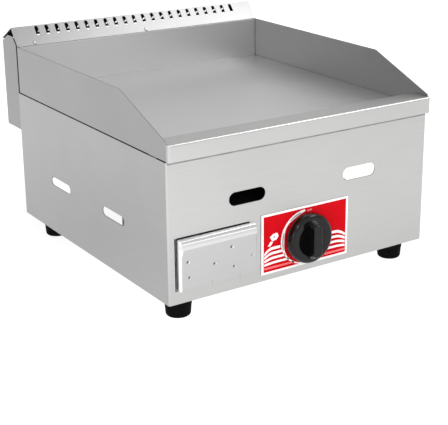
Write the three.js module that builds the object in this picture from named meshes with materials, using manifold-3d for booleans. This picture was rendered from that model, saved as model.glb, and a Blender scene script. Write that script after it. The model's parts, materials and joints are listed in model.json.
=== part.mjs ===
// Countertop gas griddle with one burner, a front knob, a grease drawer and a slotted rear vent.
// Millimetres, +Z up, X along the front, +Y to the back. The origin is on the surface that the
// feet stand on, at the middle of the whole object. The model is drawn in the casing's frame,
// whose zero is the front panel's outer face, the casing's middle and its lower edge.

import * as THREE from "three";
import { mergeVertices } from "three/addons/utils/BufferGeometryUtils.js";
import Module from "manifold-3d";

const wasm = await Module();
wasm.setup();

// ---- Driving dimensions ----

const GAP = 0.4;
const SHEET = 1.2;
const TRAY_WIDTH = 400;
const CASING_WIDTH = 399.6;
const CASING_DEPTH = 407;
const CASING_HEIGHT = 178.5;
const CORNER_RADIUS = 2.5;
const FOOT_HEIGHT = 28;
const FOOT_TOP_RADIUS = 17.8;
const FOOT_LOWER_RADIUS = 15.8;
const FOOT_ROUNDING = 3.6;
const FOOT_INSET_X = 30;
const FOOT_INSET_FRONT = 30;
const FOOT_INSET_REAR = 36;

const TRAY_BOTTOM = 180.3;
const PLATE_BOTTOM = 179;
const PLATE_TOP = 187;
const PLATE_FRONT = 44;
const FASCIA_FRONT = -7;
const FASCIA_TOP = 201;
const FASCIA_REAR = 24;
const GUARD_TOP = 245;
const GUARD_BEND = 107;
const GUARD_REAR = 402;
const GUARD_TIP = 203.5;
const REAR_GUARD_FACE = 397.5;

const RIDGE = [419, 268.5];
const COWL_END = [451, 250];
const SLOT_COUNT = 22;
const SLOT_PITCH = 15.55;
const SLOT_WIDTH = 5.6;
const FLUE_REAR = 452.5;
const FLUE_BOTTOM = 124.5;

const VENT_LENGTH = 53;
const VENT_HEIGHT = 17;
const VENT_X = 87;
const VENT_Z = 117;
const SIDE_VENT_LENGTH = 57;
const SIDE_VENT_HEIGHT = 12;
const SIDE_VENT_Y = [134, 284];
const SIDE_VENT_Z = 75;
const RIGHT_OPENING = { front: 92, rear: 178, bottom: 31, top: 91, radius: 8 };

const DRAWER_OPENING = { left: -190.5, right: -84, bottom: 17, top: 84 };
const DRAWER_FACE = { left: -187.6, right: -78, bottom: 17.5, top: 81.5, front: -7 };
const PAN = { left: -186, right: -88, bottom: 19.2, top: 78, front: -5.4, rear: 118 };
const RUNNER_REAR = 132;
const RUNNER_TOP = 88;

const KNOB_X = 1;
const KNOB_Z = 47;
const KNOB_RADIUS = 32.5;
const GRIP_FRONT_REACH = 21;
const GRIP_BASE_REACH = 29.5;
const KNOB_BACK = -5.6;
const KNOB_FACE = -17;
const KNOB_FRONT = -29;
const LABEL_WIDTH = 136;
const LABEL_BOTTOM = 8.8;
const LABEL_HEIGHT = 79;
const LABEL_THICKNESS = 0.8;

const BURNER_Z = 114;
const BURNER_TUBE_X = 68;
const BURNER_TUBE_RADIUS = 16;
const PIPE_RADIUS = 4;
const INLET_X = 150;
const INLET_Z = 72;

const OVERALL_MIDDLE_Y = (KNOB_FRONT + FLUE_REAR) / 2;

// ---- Solids ----

// A closed geometry as a solid that can be joined to others and cut.
function solid(geometry) {
  const bare = geometry.clone();
  bare.deleteAttribute("normal");
  bare.deleteAttribute("uv");
  const merged = mergeVertices(bare, 1e-3);
  return new wasm.Manifold(
    new wasm.Mesh({
      numProp: 3,
      vertProperties: new Float32Array(merged.attributes.position.array),
      triVerts: new Uint32Array(merged.index.array),
    }),
  );
}

function geometryOf(body) {
  const mesh = body.getMesh();
  const geometry = new THREE.BufferGeometry();
  geometry.setAttribute("position", new THREE.BufferAttribute(mesh.vertProperties, 3));
  geometry.setIndex(new THREE.BufferAttribute(mesh.triVerts, 1));
  const faceted = geometry.toNonIndexed();
  faceted.computeVertexNormals();
  return faceted;
}

function box(x0, x1, y0, y1, z0, z1) {
  const geometry = new THREE.BoxGeometry(x1 - x0, y1 - y0, z1 - z0);
  geometry.translate((x0 + x1) / 2, (y0 + y1) / 2, (z0 + z1) / 2);
  return geometry;
}

function extruded(shape, depth, curveSegments = 8) {
  return new THREE.ExtrudeGeometry(shape, { depth, bevelEnabled: false, curveSegments });
}

// A shape drawn in X and Z, as thick as the stretch from y0 to y1.
function frontal(shape, y0, y1, curveSegments) {
  const geometry = extruded(shape, y1 - y0, curveSegments);
  geometry.rotateX(Math.PI / 2);
  geometry.translate(0, y1, 0);
  return geometry;
}

const PROFILE_TURN = new THREE.Matrix4().makeBasis(
  new THREE.Vector3(0, 1, 0),
  new THREE.Vector3(0, 0, 1),
  new THREE.Vector3(1, 0, 0),
);

// A shape drawn in Y and Z, as long as the stretch from x0 to x1.
function sideways(shape, x0, x1, curveSegments) {
  const geometry = extruded(shape, x1 - x0, curveSegments);
  geometry.applyMatrix4(PROFILE_TURN);
  geometry.translate(x0, 0, 0);
  return geometry;
}

// A shape drawn in X and Y, as thick as the stretch from z0 to z1.
function level(shape, z0, z1, curveSegments) {
  const geometry = extruded(shape, z1 - z0, curveSegments);
  geometry.translate(0, 0, z0);
  return geometry;
}

function polygon(points) {
  return new THREE.Shape(points.map(([a, b]) => new THREE.Vector2(a, b)));
}

function obround(centre, middle, length, height) {
  const r = height / 2;
  const reach = length / 2 - r;
  const shape = new THREE.Shape();
  shape.absarc(centre + reach, middle, r, -Math.PI / 2, Math.PI / 2, false);
  shape.absarc(centre - reach, middle, r, Math.PI / 2, (3 * Math.PI) / 2, false);
  shape.closePath();
  return shape;
}

function circle(x, y, radius) {
  const shape = new THREE.Shape();
  shape.absarc(x, y, radius, 0, 2 * Math.PI, false);
  return shape;
}

// A turned body on the Y axis from [radius, y] points given from front to back.
function turned(points, segments = 24) {
  return new THREE.LatheGeometry(points.map(([r, y]) => new THREE.Vector2(r, y)), segments);
}

// A turned body on the Z axis from [radius, z] points given from the bottom up.
function turnedUp(points, segments = 24) {
  const geometry = turned(points, segments);
  geometry.rotateX(Math.PI / 2);
  return geometry;
}

// A folded sheet's outline: the middle line's points, thickened to both sides.
function folded(points, thickness) {
  const middle = points.map(([a, b]) => new THREE.Vector2(a, b));
  const run = (from, to) => middle[to].clone().sub(middle[from]).normalize();
  const last = middle.length - 1;
  const side = (sign) =>
    middle.map((point, i) => {
      const after = i === last ? run(last - 1, last) : run(i, i + 1);
      const before = i === 0 ? after : run(i - 1, i);
      const along = before.clone().add(after).normalize();
      const offset = (sign * thickness) / 2 / along.dot(after);
      return new THREE.Vector2(point.x - along.y * offset, point.y + along.x * offset);
    });
  return new THREE.Shape([...side(1), ...side(-1).reverse()]);
}

// Points of an arc about [a, b], from one angle to another, in degrees.
function arc(a, b, radius, from, to, steps) {
  return Array.from({ length: steps + 1 }, (_, i) => {
    const angle = ((from + ((to - from) * i) / steps) * Math.PI) / 180;
    return [a + radius * Math.cos(angle), b + radius * Math.sin(angle)];
  });
}

function tubeAlong(points, radius, sides, steps) {
  const path = new THREE.CatmullRomCurve3(points.map((p) => new THREE.Vector3(...p)), false, "centripetal");
  const section = new THREE.Shape(
    Array.from({ length: sides }, (_, i) => {
      const angle = (2 * Math.PI * i) / sides;
      return new THREE.Vector2(radius * Math.cos(angle), radius * Math.sin(angle));
    }),
  );
  return new THREE.ExtrudeGeometry(section, { steps, extrudePath: path, bevelEnabled: false });
}

// ---- Finishes ----

function finish(color, roughness, metalness) {
  return () => new THREE.MeshStandardMaterial({ color, roughness, metalness });
}

const steel = finish(0xd2d2d0, 0.35, 1);
const plateSteel = finish(0xbdbdbb, 0.3, 1);
const zinc = finish(0xb8bcc0, 0.45, 1);
const enamel = finish(0x1c1c1e, 0.5, 0.2);
const castIron = finish(0x35332f, 0.7, 0.6);
const brass = finish(0xc2a14a, 0.35, 1);
const rubber = finish(0x161616, 0.8, 0);
const plastic = finish(0x141312, 0.25, 0);
const red = finish(0xe01822, 0.4, 0);
const ceramic = finish(0xece8de, 0.4, 0);
const spring = finish(0xa8aaac, 0.3, 1);

const griddle = new THREE.Group();
griddle.position.set(0, -OVERALL_MIDDLE_Y, FOOT_HEIGHT);

function add(name, body, material, x = 0, y = 0, z = 0) {
  const geometry = body.isBufferGeometry ? body : geometryOf(body);
  const mesh = new THREE.Mesh(geometry, material());
  mesh.name = name;
  mesh.position.set(x, y, z);
  griddle.add(mesh);
}

function cut(geometry, cuts) {
  return cuts.reduce((body, piece) => body.subtract(solid(piece)), solid(geometry));
}

function join(geometries) {
  return geometries.slice(1).reduce((body, piece) => body.add(solid(piece)), solid(geometries[0]));
}

// ---- Casing ----

const INNER_HALF = CASING_WIDTH / 2 - SHEET - GAP;
const BACK_EDGE = 45;
const RAIL_WIDTH = 58;
const RAIL_THICKNESS = 2;
const FOOT_X = CASING_WIDTH / 2 - FOOT_INSET_X;
const FOOT_Y = [FOOT_INSET_FRONT, CASING_DEPTH - FOOT_INSET_REAR];

// The front panel: a sheet whose upright edges bend back round both corners.
function frontPanel() {
  const half = CASING_WIDTH / 2;
  const r = CORNER_RADIUS;
  const inner = r - SHEET;
  const outline = [
    ...arc(-half + r, r, r, 180, 270, 4),
    ...arc(half - r, r, r, 270, 360, 4),
    ...arc(half - r, r, inner, 360, 270, 4),
    ...arc(-half + r, r, inner, 270, 180, 4),
  ];
  const { left, right, bottom, top } = DRAWER_OPENING;
  return cut(level(polygon(outline), 0, CASING_HEIGHT), [
    box(left, right, -1, 6, bottom, top),
    frontal(obround(-VENT_X, VENT_Z, VENT_LENGTH, VENT_HEIGHT), -1, 6, 10),
    frontal(obround(VENT_X, VENT_Z, VENT_LENGTH, VENT_HEIGHT), -1, 6, 10),
    frontal(circle(KNOB_X, KNOB_Z, 8.5), -1, 6, 6),
  ]);
}

// The right side has a larger opening in place of its front vent, to reach the gas pipe.
function rightOpening(x0, x1) {
  const { front, rear, bottom, top, radius } = RIGHT_OPENING;
  const outline = [
    ...arc(rear - radius, top - radius, radius, 0, 90, 4),
    ...arc(front + radius, top - radius, radius, 90, 180, 4),
    ...arc(front + radius, bottom + radius, radius, 180, 270, 4),
    ...arc(rear - radius, bottom + radius, radius, 270, 360, 4),
  ];
  return sideways(polygon(outline), x0, x1);
}

function sidePanel(sign) {
  const outer = (sign * CASING_WIDTH) / 2;
  const inner = outer - sign * SHEET;
  const x0 = Math.min(outer, inner);
  const x1 = Math.max(outer, inner);
  const slots = SIDE_VENT_Y.map((y) =>
    sideways(obround(y, SIDE_VENT_Z, SIDE_VENT_LENGTH, SIDE_VENT_HEIGHT), x0 - 1, x1 + 1, 8),
  );
  if (sign > 0) slots[0] = rightOpening(x0 - 1, x1 + 1);
  return cut(box(x0, x1, CORNER_RADIUS + GAP, CASING_DEPTH, 0, CASING_HEIGHT), slots);
}

// The back panel stops below the flue, which takes the burner's hot air above it.
function backPanel() {
  const front = CASING_DEPTH - SHEET;
  const sheet = box(-INNER_HALF, INNER_HALF, front, CASING_DEPTH, BACK_EDGE, FLUE_BOTTOM + 2);
  return cut(sheet, [frontal(circle(INLET_X, INLET_Z, 8.5), front - 3, CASING_DEPTH + 3, 6)]);
}

function baseRail(sign) {
  const outer = sign * INNER_HALF;
  const inner = outer - sign * RAIL_WIDTH;
  const x0 = Math.min(outer, inner);
  const x1 = Math.max(outer, inner);
  const holes = FOOT_Y.map((y) => level(circle(sign * FOOT_X, y, 3), -1, RAIL_THICKNESS + 1, 6));
  return cut(box(x0, x1, SHEET + GAP, CASING_DEPTH - 2, 0, RAIL_THICKNESS), holes);
}

// A tapered rubber foot with a rounded lower edge and a recess for its screw's head.
function foot() {
  const bottom = -FOOT_HEIGHT;
  return turnedUp(
    [
      [5.5, bottom],
      ...arc(FOOT_LOWER_RADIUS - FOOT_ROUNDING, bottom + FOOT_ROUNDING, FOOT_ROUNDING, -90, 0, 3),
      [FOOT_TOP_RADIUS, -GAP],
      [3, -GAP],
      [3, bottom + 9],
      [5.5, bottom + 9],
      [5.5, bottom],
    ],
    20,
  );
}

function footBolt() {
  const seat = -FOOT_HEIGHT + 9 - GAP;
  return turnedUp(
    [
      [0, seat - 3.5],
      [4.2, seat - 3.5],
      [4.8, seat - 2],
      [4.8, seat],
      [2.6, seat],
      [2.6, RAIL_THICKNESS + 5],
      [0, RAIL_THICKNESS + 5],
    ],
    12,
  );
}

// ---- Tray: plate, guards, fascia and trough ----

const PLATE_HALF = TRAY_WIDTH / 2 - SHEET - GAP;
const GUARD_FRONT = FASCIA_FRONT + 5;
const TROUGH = { front: FASCIA_REAR + GAP, rear: 52, bottom: 166, top: PLATE_BOTTOM - GAP };
const SPOUT_X = -136;
const SPOUT_Y = 38;
const SPOUT_RADIUS = 9;

function griddlePlate() {
  const rear = REAR_GUARD_FACE - GAP;
  return box(-PLATE_HALF, PLATE_HALF, PLATE_FRONT, rear, PLATE_BOTTOM, PLATE_TOP);
}

function splashGuard(sign) {
  const outline = polygon([
    [GUARD_FRONT, TRAY_BOTTOM],
    [GUARD_REAR, TRAY_BOTTOM],
    [GUARD_REAR, GUARD_TOP],
    ...arc(GUARD_BEND, GUARD_TOP - 6, 6, 90, 111, 3),
    [GUARD_FRONT, GUARD_TIP],
  ]);
  const outer = (sign * TRAY_WIDTH) / 2;
  const inner = outer - sign * SHEET;
  return sideways(outline, Math.min(outer, inner), Math.max(outer, inner));
}

function rearGuard() {
  const face = REAR_GUARD_FACE;
  return box(-PLATE_HALF, PLATE_HALF, face, face + SHEET, PLATE_BOTTOM, GUARD_TOP - 0.5);
}

// The fascia: a skirt with a raised flat top strip and an inner leg down to the trough. Its
// ends bend back round the tray's front corners.
function frontFascia() {
  const half = TRAY_WIDTH / 2;
  const r = 3;
  const face = FASCIA_FRONT;
  const rear = FASCIA_REAR;
  const lower = TRAY_BOTTOM - 0.6;
  const leg = 168;
  const section = polygon([
    [face, lower],
    [face, FASCIA_TOP],
    [rear, FASCIA_TOP],
    [rear, leg],
    [rear - SHEET, leg],
    [rear - SHEET, FASCIA_TOP - SHEET],
    [face + SHEET, FASCIA_TOP - SHEET],
    [face + SHEET, lower],
  ]);
  const end = GUARD_FRONT - GAP;
  const corners = polygon([
    ...arc(-half + r, face + r, r, 180, 270, 4),
    ...arc(half - r, face + r, r, 270, 360, 4),
    [half, end],
    [half - SHEET, end],
    ...arc(half - r, face + r, r - SHEET, 360, 270, 3),
    ...arc(-half + r, face + r, r - SHEET, 270, 180, 3),
    [-half + SHEET, end],
    [-half, end],
  ]);
  const cap = polygon([
    ...arc(-half + r, face + r, r, 180, 270, 4),
    ...arc(half - r, face + r, r, 270, 360, 4),
    [half, end],
    [-half, end],
  ]);
  const bar = cut(sideways(section, -PLATE_HALF, PLATE_HALF), [
    box(-half - 1, half + 1, face - 1, face + r + 1, lower - 1, FASCIA_TOP - SHEET),
    box(-half, -INNER_HALF, rear - 3, rear + 1, leg - 1, TRAY_BOTTOM),
    box(INNER_HALF, half, rear - 3, rear + 1, leg - 1, TRAY_BOTTOM),
  ]);
  const wrap = solid(level(corners, lower, FASCIA_TOP));
  const lid = solid(level(cap, FASCIA_TOP - SHEET, FASCIA_TOP));
  const outside = polygon([
    [face - 1, FASCIA_TOP - r],
    ...arc(face + r, FASCIA_TOP - r, r, 180, 90, 4),
    [face + r, FASCIA_TOP + 1],
    [face - 1, FASCIA_TOP + 1],
  ]);
  return bar.add(wrap).add(lid).subtract(solid(sideways(outside, -half - 1, half + 1)));
}

function greaseTrough() {
  const { front, rear, bottom, top } = TROUGH;
  const half = INNER_HALF;
  return cut(box(-half, half, front, rear, bottom, top), [
    box(-half + SHEET, half - SHEET, front + SHEET, rear - SHEET, bottom + SHEET, top + 1),
    level(circle(SPOUT_X, SPOUT_Y, SPOUT_RADIUS - 1.4), bottom - 1, bottom + 3, 6),
  ]);
}

function drainSpout() {
  const top = TROUGH.bottom - GAP;
  const bottom = 92;
  return turnedUp([
    [SPOUT_RADIUS - 1.2, bottom],
    [SPOUT_RADIUS, bottom],
    [SPOUT_RADIUS, top - 2],
    [SPOUT_RADIUS + 4, top - 1],
    [SPOUT_RADIUS + 4, top],
    [SPOUT_RADIUS - 1.2, top],
    [SPOUT_RADIUS - 1.2, bottom],
  ]);
}

// An angle under each side of the plate.
function supportRail(sign) {
  const outer = INNER_HALF;
  const top = PLATE_BOTTOM - GAP;
  const leg = 22;
  const points = [
    [outer, top - leg],
    [outer, top],
    [outer - leg, top],
    [outer - leg, top - 2],
    [outer - 2, top - 2],
    [outer - 2, top - leg],
  ];
  const shape = polygon(points.map(([x, z]) => [sign * x, z]));
  return frontal(shape, TROUGH.rear + 2, REAR_GUARD_FACE - 4);
}

// ---- Vent and flue ----

const FOLD = [REAR_GUARD_FACE + SHEET + GAP + SHEET / 2, GUARD_TOP];
const FLUE_HALF = TRAY_WIDTH / 2 - 0.6;

// An obround cutter on a slope, between two distances from the ridge.
function slopeSlot(end, from, to) {
  const run = new THREE.Vector2(end[0] - RIDGE[0], end[1] - RIDGE[1]).normalize();
  const middle = (from + to) / 2;
  const cutter = extruded(obround(0, 0, to - from, SLOT_WIDTH), 8, 4);
  cutter.translate(0, 0, -4);
  cutter.applyMatrix4(
    new THREE.Matrix4().makeBasis(
      new THREE.Vector3(0, run.x, run.y),
      new THREE.Vector3(-1, 0, 0),
      new THREE.Vector3(0, -run.y, run.x),
    ),
  );
  cutter.translate(0, RIDGE[0] + run.x * middle, RIDGE[1] + run.y * middle);
  return cutter;
}

// The slotted cowl: a lap behind the rear guard, a slope up to the ridge, a slope down behind it.
function ventCowl() {
  const half = TRAY_WIDTH / 2;
  const sheet = folded([[FOLD[0], FOLD[1] - 9], FOLD, RIDGE, COWL_END], SHEET);
  let cowl = cut(sideways(sheet, -half, half), [
    box(-half - 1, -PLATE_HALF, FOLD[0] - 5, GUARD_REAR + 1, FOLD[1] - 12, GUARD_TOP + GAP),
    box(PLATE_HALF, half + 1, FOLD[0] - 5, GUARD_REAR + 1, FOLD[1] - 12, GUARD_TOP + GAP),
  ]);
  const front = slopeSlot(FOLD, 1, 16);
  const rear = slopeSlot(COWL_END, 10, 28);
  for (let i = 0; i < SLOT_COUNT; i += 1) {
    const x = (i - (SLOT_COUNT - 1) / 2) * SLOT_PITCH;
    cowl = cowl.subtract(solid(front.clone().translate(x, 0, 0)));
    cowl = cowl.subtract(solid(rear.clone().translate(x, 0, 0)));
  }
  return cowl;
}

// A small rivet head on the cowl's front slope, just above the fold.
function cowlRivet() {
  const run = new THREE.Vector2(RIDGE[0] - FOLD[0], RIDGE[1] - FOLD[1]).normalize();
  const head = turned([[0, -1.3], [1.7, -1.3], [2.7, -0.4], [2.7, 0], [0, 0]], 12);
  head.rotateX(-Math.atan2(run.x, run.y));
  const lift = SHEET / 2 + 0.3;
  head.translate(0, FOLD[0] + run.x * 3.4 - run.y * lift, FOLD[1] + run.y * 3.4 + run.x * lift);
  return head;
}

// The flue's back wall and floor, folded from one sheet.
function flueBack() {
  const half = FLUE_HALF - SHEET - GAP;
  const outline = polygon([
    [CASING_DEPTH + GAP, FLUE_BOTTOM],
    [FLUE_REAR, FLUE_BOTTOM],
    [FLUE_REAR, 247.5],
    [FLUE_REAR - SHEET, 247.5],
    [FLUE_REAR - SHEET, FLUE_BOTTOM + SHEET],
    [CASING_DEPTH + GAP, FLUE_BOTTOM + SHEET],
  ]);
  return sideways(outline, -half, half);
}

function flueSide(sign) {
  const outline = polygon([
    [CASING_DEPTH + GAP, FLUE_BOTTOM],
    [FLUE_REAR, FLUE_BOTTOM],
    [FLUE_REAR, 246.5],
    [434, 257],
    [417, 257],
    [CASING_DEPTH + GAP, 246],
  ]);
  const outer = sign * FLUE_HALF;
  const inner = outer - sign * SHEET;
  return sideways(outline, Math.min(outer, inner), Math.max(outer, inner));
}

// ---- Grease drawer ----

// The drawer front: a shallow folded pan with a slanted pull lip along its top.
function drawerFront() {
  const { left, right, bottom, top, front } = DRAWER_FACE;
  const back = -GAP;
  const shell = cut(box(left, right, front, back, bottom, top), [
    box(left + SHEET, right - SHEET, front + SHEET, back + 1, bottom + SHEET, top - SHEET),
  ]);
  const lip = polygon([
    [front + 0.4, top - 0.8],
    [front - 0.4, top - 1.6],
    [front - 1.6, top - 9.5],
    [front - 1, top - 11],
    [front + 0.4, top - 11.6],
  ]);
  return shell.add(solid(sideways(lip, left + 1, right - 1)));
}

function drawerPan() {
  const { left, right, bottom, top, front, rear } = PAN;
  return cut(box(left, right, front, rear, bottom, top), [
    box(left + 1, right - 1, front + 1, rear - 1, bottom + 1, top + 1),
  ]);
}

function drawerRunner(sign) {
  const edge = sign < 0 ? PAN.left - 2.5 : DRAWER_OPENING.right + 1.5;
  const points = [
    [0, PAN.bottom - 2.6],
    [12, PAN.bottom - 2.6],
    [12, PAN.bottom - 0.8],
    [1.5, PAN.bottom - 0.8],
    [1.5, RUNNER_TOP],
    [0, RUNNER_TOP],
  ];
  return frontal(polygon(points.map(([x, z]) => [edge - sign * x, z])), SHEET + GAP, RUNNER_REAR);
}

// A strip across the runners' rear ends, from the left side panel to past the right runner.
function runnerTie() {
  const top = PAN.bottom - 2.6 - GAP;
  return box(-INNER_HALF, PAN.right + 6, RUNNER_REAR - 22, RUNNER_REAR, top - 2, top);
}

// ---- Control: label, knob and gas tap ----

const HOLLOW_FLOOR = -9.8;
const STEM_RADIUS = 4;
const TAP_FRONT = 10;
const TAP_REAR = 46;
const PORT_Y = 31;

function controlLabel() {
  const half = LABEL_WIDTH / 2;
  const front = -GAP - LABEL_THICKNESS;
  const top = LABEL_BOTTOM + LABEL_HEIGHT;
  const sheet = box(KNOB_X - half, KNOB_X + half, front, -GAP, LABEL_BOTTOM, top);
  return cut(sheet, [frontal(circle(KNOB_X, KNOB_Z, 10.5), front - 1, 1, 6)]);
}

// The knob: a thick disc with a finger hollow on each side of a grip bar, and a blind socket.
function knob() {
  const r = KNOB_RADIUS;
  const disc = turned(
    [
      [0, KNOB_FACE],
      ...arc(r - 3, KNOB_FACE + 3, 3, -90, 0, 4),
      [r, KNOB_BACK],
      [0, KNOB_BACK],
    ],
    40,
  );
  const hollow = turned([[0, -40], [r - 3.5, -40], [r - 4.5, HOLLOW_FLOOR], [0, HOLLOW_FLOOR]], 40);
  const bar = polygon([
    [-8.5, HOLLOW_FLOOR + 1],
    [-6.5, KNOB_FRONT],
    [6.5, KNOB_FRONT],
    [8.5, HOLLOW_FLOOR + 1],
  ]);
  const ends = polygon([
    [KNOB_FRONT, -GRIP_FRONT_REACH],
    [KNOB_FRONT, GRIP_FRONT_REACH],
    [KNOB_FACE + 0.5, GRIP_BASE_REACH],
    [HOLLOW_FLOOR + 1, GRIP_BASE_REACH],
    [HOLLOW_FLOOR + 1, -GRIP_BASE_REACH],
    [KNOB_FACE + 0.5, -GRIP_BASE_REACH],
  ]);
  const grip = solid(level(bar, -r, r)).intersect(solid(sideways(ends, -r, r)));
  const recess = turned([[0, KNOB_BACK - 2.8], [11.2, KNOB_BACK - 2.8], [11.2, 0], [0, 0]], 24);
  const socket = turned([[0, -20], [STEM_RADIUS + 0.3, -20], [STEM_RADIUS + 0.3, 0], [0, 0]], 20);
  return cut(disc, [hollow]).add(grip).subtract(solid(recess)).subtract(solid(socket));
}

// The stem: it fills the knob's socket, carries the spring's collar and ends in a flat tongue.
function valveStem() {
  const shaft = turned(
    [
      [0, -19.6],
      [STEM_RADIUS - 0.5, -19.6],
      [STEM_RADIUS, -19.1],
      [STEM_RADIUS, 13.5],
      [6, 13.5],
      [6, 15.5],
      [STEM_RADIUS, 15.5],
      [STEM_RADIUS, 20],
      [0, 20],
    ],
    20,
  );
  return join([shaft, box(-1.5, 1.5, 19, 28, -3.7, 3.7)]);
}

function stemSpring() {
  const turns = 3.5;
  const steps = 56;
  const start = 16.4;
  const length = 6.6;
  const points = Array.from({ length: steps + 1 }, (_, i) => {
    const angle = (2 * Math.PI * turns * i) / steps;
    return [5.6 * Math.cos(angle), start + (length * i) / steps, 5.6 * Math.sin(angle)];
  });
  return tubeAlong(points, 0.45, 6, steps);
}

function tapPlug() {
  const plug = turned([[0, 24], [8, 24], [8, 37.5], [0, 37.5]], 24);
  const passage = turned([[0, 30], [2.5, 30], [2.5, 40], [0, 40]], 12);
  const across = turnedUp([[0, 0], [2.5, 0], [2.5, 12], [0, 12]], 12).translate(0, PORT_Y, 0);
  return cut(plug, [box(-1.7, 1.7, 20, 34, -12, 12), passage, across]);
}

// The tap's body: a barrel bored from the front, with a gas port to one side and one on top.
function tapBody() {
  const barrel = turned([[0, TAP_FRONT], [13, TAP_FRONT], [13, TAP_REAR - 2], [11, TAP_REAR], [0, TAP_REAR]]);
  const top = turnedUp([[0, 8], [7, 8], [7, 21], [0, 21]], 16).translate(0, PORT_Y, 0);
  const side = turnedUp([[0, 8], [7, 8], [7, 22], [0, 22]], 16);
  side.rotateY(Math.PI / 2);
  side.translate(0, PORT_Y, 0);
  const bore = turned([[0, TAP_FRONT - 1], [8.3, TAP_FRONT - 1], [8.3, 38], [0, 38]]);
  const topPort = turnedUp([[0, 0], [2.5, 0], [2.5, 30], [0, 30]], 12).translate(0, PORT_Y, 0);
  const sidePort = turnedUp([[0, 0], [2.5, 0], [2.5, 30], [0, 30]], 12);
  sidePort.rotateY(Math.PI / 2);
  sidePort.translate(0, PORT_Y, 0);
  return join([barrel, top, side]).subtract(solid(bore)).subtract(solid(topPort)).subtract(solid(sidePort));
}

// The bonnet closes the tap and passes its threaded neck through the panel.
function tapBonnet() {
  const flange = frontal(obround(0, 0, 46, 26), SHEET + GAP, 3.6, 8);
  const rear = TAP_FRONT - GAP;
  const neck = turned([[0, -4.2], [6.4, -4.2], [7, -3.6], [7, 2], [9, 2], [9, rear], [0, rear]]);
  const bore = turned([[0, -8], [STEM_RADIUS + 0.3, -8], [STEM_RADIUS + 0.3, 12], [0, 12]], 20);
  return join([flange, neck]).subtract(solid(bore));
}

function bonnetNut() {
  const nut = frontal(circle(0, 0, 10.4), -4.6, -GAP - LABEL_THICKNESS - GAP, 3);
  const bore = turned([[0, -8], [7.4, -8], [7.4, 2], [0, 2]], 24);
  return cut(nut, [bore]);
}

// ---- Gas line ----

// A hexagonal nut round a pipe along X.
function pipeNut(length) {
  const nut = sideways(circle(0, 0, 8.2), 0, length, 3);
  return cut(nut, [sideways(circle(0, 0, PIPE_RADIUS + 0.35), -1, length + 1, 8)]);
}

function gasPipe() {
  const start = KNOB_X + 22 + GAP;
  return tubeAlong(
    [
      [start, PORT_Y, KNOB_Z],
      [start + 24, PORT_Y, KNOB_Z],
      [INLET_X - 28, PORT_Y + 4, KNOB_Z],
      [INLET_X - 6, PORT_Y + 24, KNOB_Z + 4],
      [INLET_X, PORT_Y + 70, KNOB_Z + 14],
      [INLET_X, 170, INLET_Z],
      [INLET_X, 300, INLET_Z],
      [INLET_X, 396, INLET_Z],
    ],
    PIPE_RADIUS,
    12,
    44,
  );
}

// The inlet fitting: a tapered thread outside the back panel and a collar inside it.
function gasInlet() {
  const inside = CASING_DEPTH - SHEET - GAP;
  const outer = turned(
    [
      [5, 397],
      [8, 397],
      [8, CASING_DEPTH + GAP],
      [13, CASING_DEPTH + GAP],
      [13, CASING_DEPTH + 9],
      [10, CASING_DEPTH + 10],
      [9.4, 438],
      [8.4, 440],
      [5, 440],
      [5, 397],
    ],
    24,
  );
  const collarFront = inside - 4;
  const collar = turned(
    [[6, collarFront], [11.5, collarFront], [11.5, inside], [6, inside], [6, collarFront]],
    24,
  );
  return join([outer, collar]);
}

function outletPipe() {
  return turnedUp([[0, 21.4], [PIPE_RADIUS, 21.4], [PIPE_RADIUS, 58], [0, 58]], 16);
}

// The elbow that turns the gas towards the burner.
function injectorElbow() {
  const bottom = KNOB_Z + 58 + GAP;
  const block = box(-7, 7, PORT_Y - 7, PORT_Y + 7, bottom, BURNER_Z + 7);
  const up = turnedUp([[0, bottom - 1], [2.5, bottom - 1], [2.5, BURNER_Z], [0, BURNER_Z]], 12);
  const along = turned([[0, 0], [2.5, 0], [2.5, 12], [0, 12]], 12).translate(0, PORT_Y, BURNER_Z);
  return cut(block, [up.translate(0, PORT_Y, 0), along]);
}

function injector() {
  const rear = PORT_Y + 7 + GAP;
  const shell = [
    [0.8, rear],
    [6.5, rear],
    [6.5, rear + 6],
    [5, rear + 7],
    [5, 59],
    [2.4, 62],
    [0.8, 62],
    [0.8, rear],
  ];
  return turned(shell, 18);
}

// ---- Burner ----

const SHUTTER_Y = 55;
const MIXER_FRONT = 57;
const CROSSOVER_Y = 146;
const WINDOWS = 3;

// Wedge-shaped air windows round a disc, for cutting.
function airWindows(y0, y1) {
  return Array.from({ length: WINDOWS }, (_, i) => {
    const start = (360 / WINDOWS) * i;
    const points = [...arc(0, 0, 18.5, start, start + 55, 4), ...arc(0, 0, 8.5, start + 55, start, 3)];
    return frontal(polygon(points), y0, y1);
  });
}

function airShutter() {
  const rear = MIXER_FRONT - 0.5;
  const disc = turned([[5.5, SHUTTER_Y], [21.5, SHUTTER_Y], [21.5, rear], [5.5, rear], [5.5, SHUTTER_Y]], 32);
  const tab = box(-3, 3, SHUTTER_Y, rear, 20, 28);
  return cut(disc, airWindows(SHUTTER_Y - 1, MIXER_FRONT)).add(solid(tab));
}

function mixingTube() {
  const rear = CROSSOVER_Y - 15;
  const shell = [
    [12.6, MIXER_FRONT + 1.6],
    [5.6, MIXER_FRONT + 1.6],
    [5.6, MIXER_FRONT],
    [21.5, MIXER_FRONT],
    [21.5, MIXER_FRONT + 1.6],
    [20, MIXER_FRONT + 6],
    [14, MIXER_FRONT + 16],
    [14, rear],
    [12.6, rear],
    [12.6, MIXER_FRONT + 16],
    [18.8, MIXER_FRONT + 6],
    [19.4, MIXER_FRONT + 1.6],
    [12.6, MIXER_FRONT + 1.6],
  ];
  return cut(turned(shell, 32), airWindows(MIXER_FRONT - 1, MIXER_FRONT + 3));
}

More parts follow.
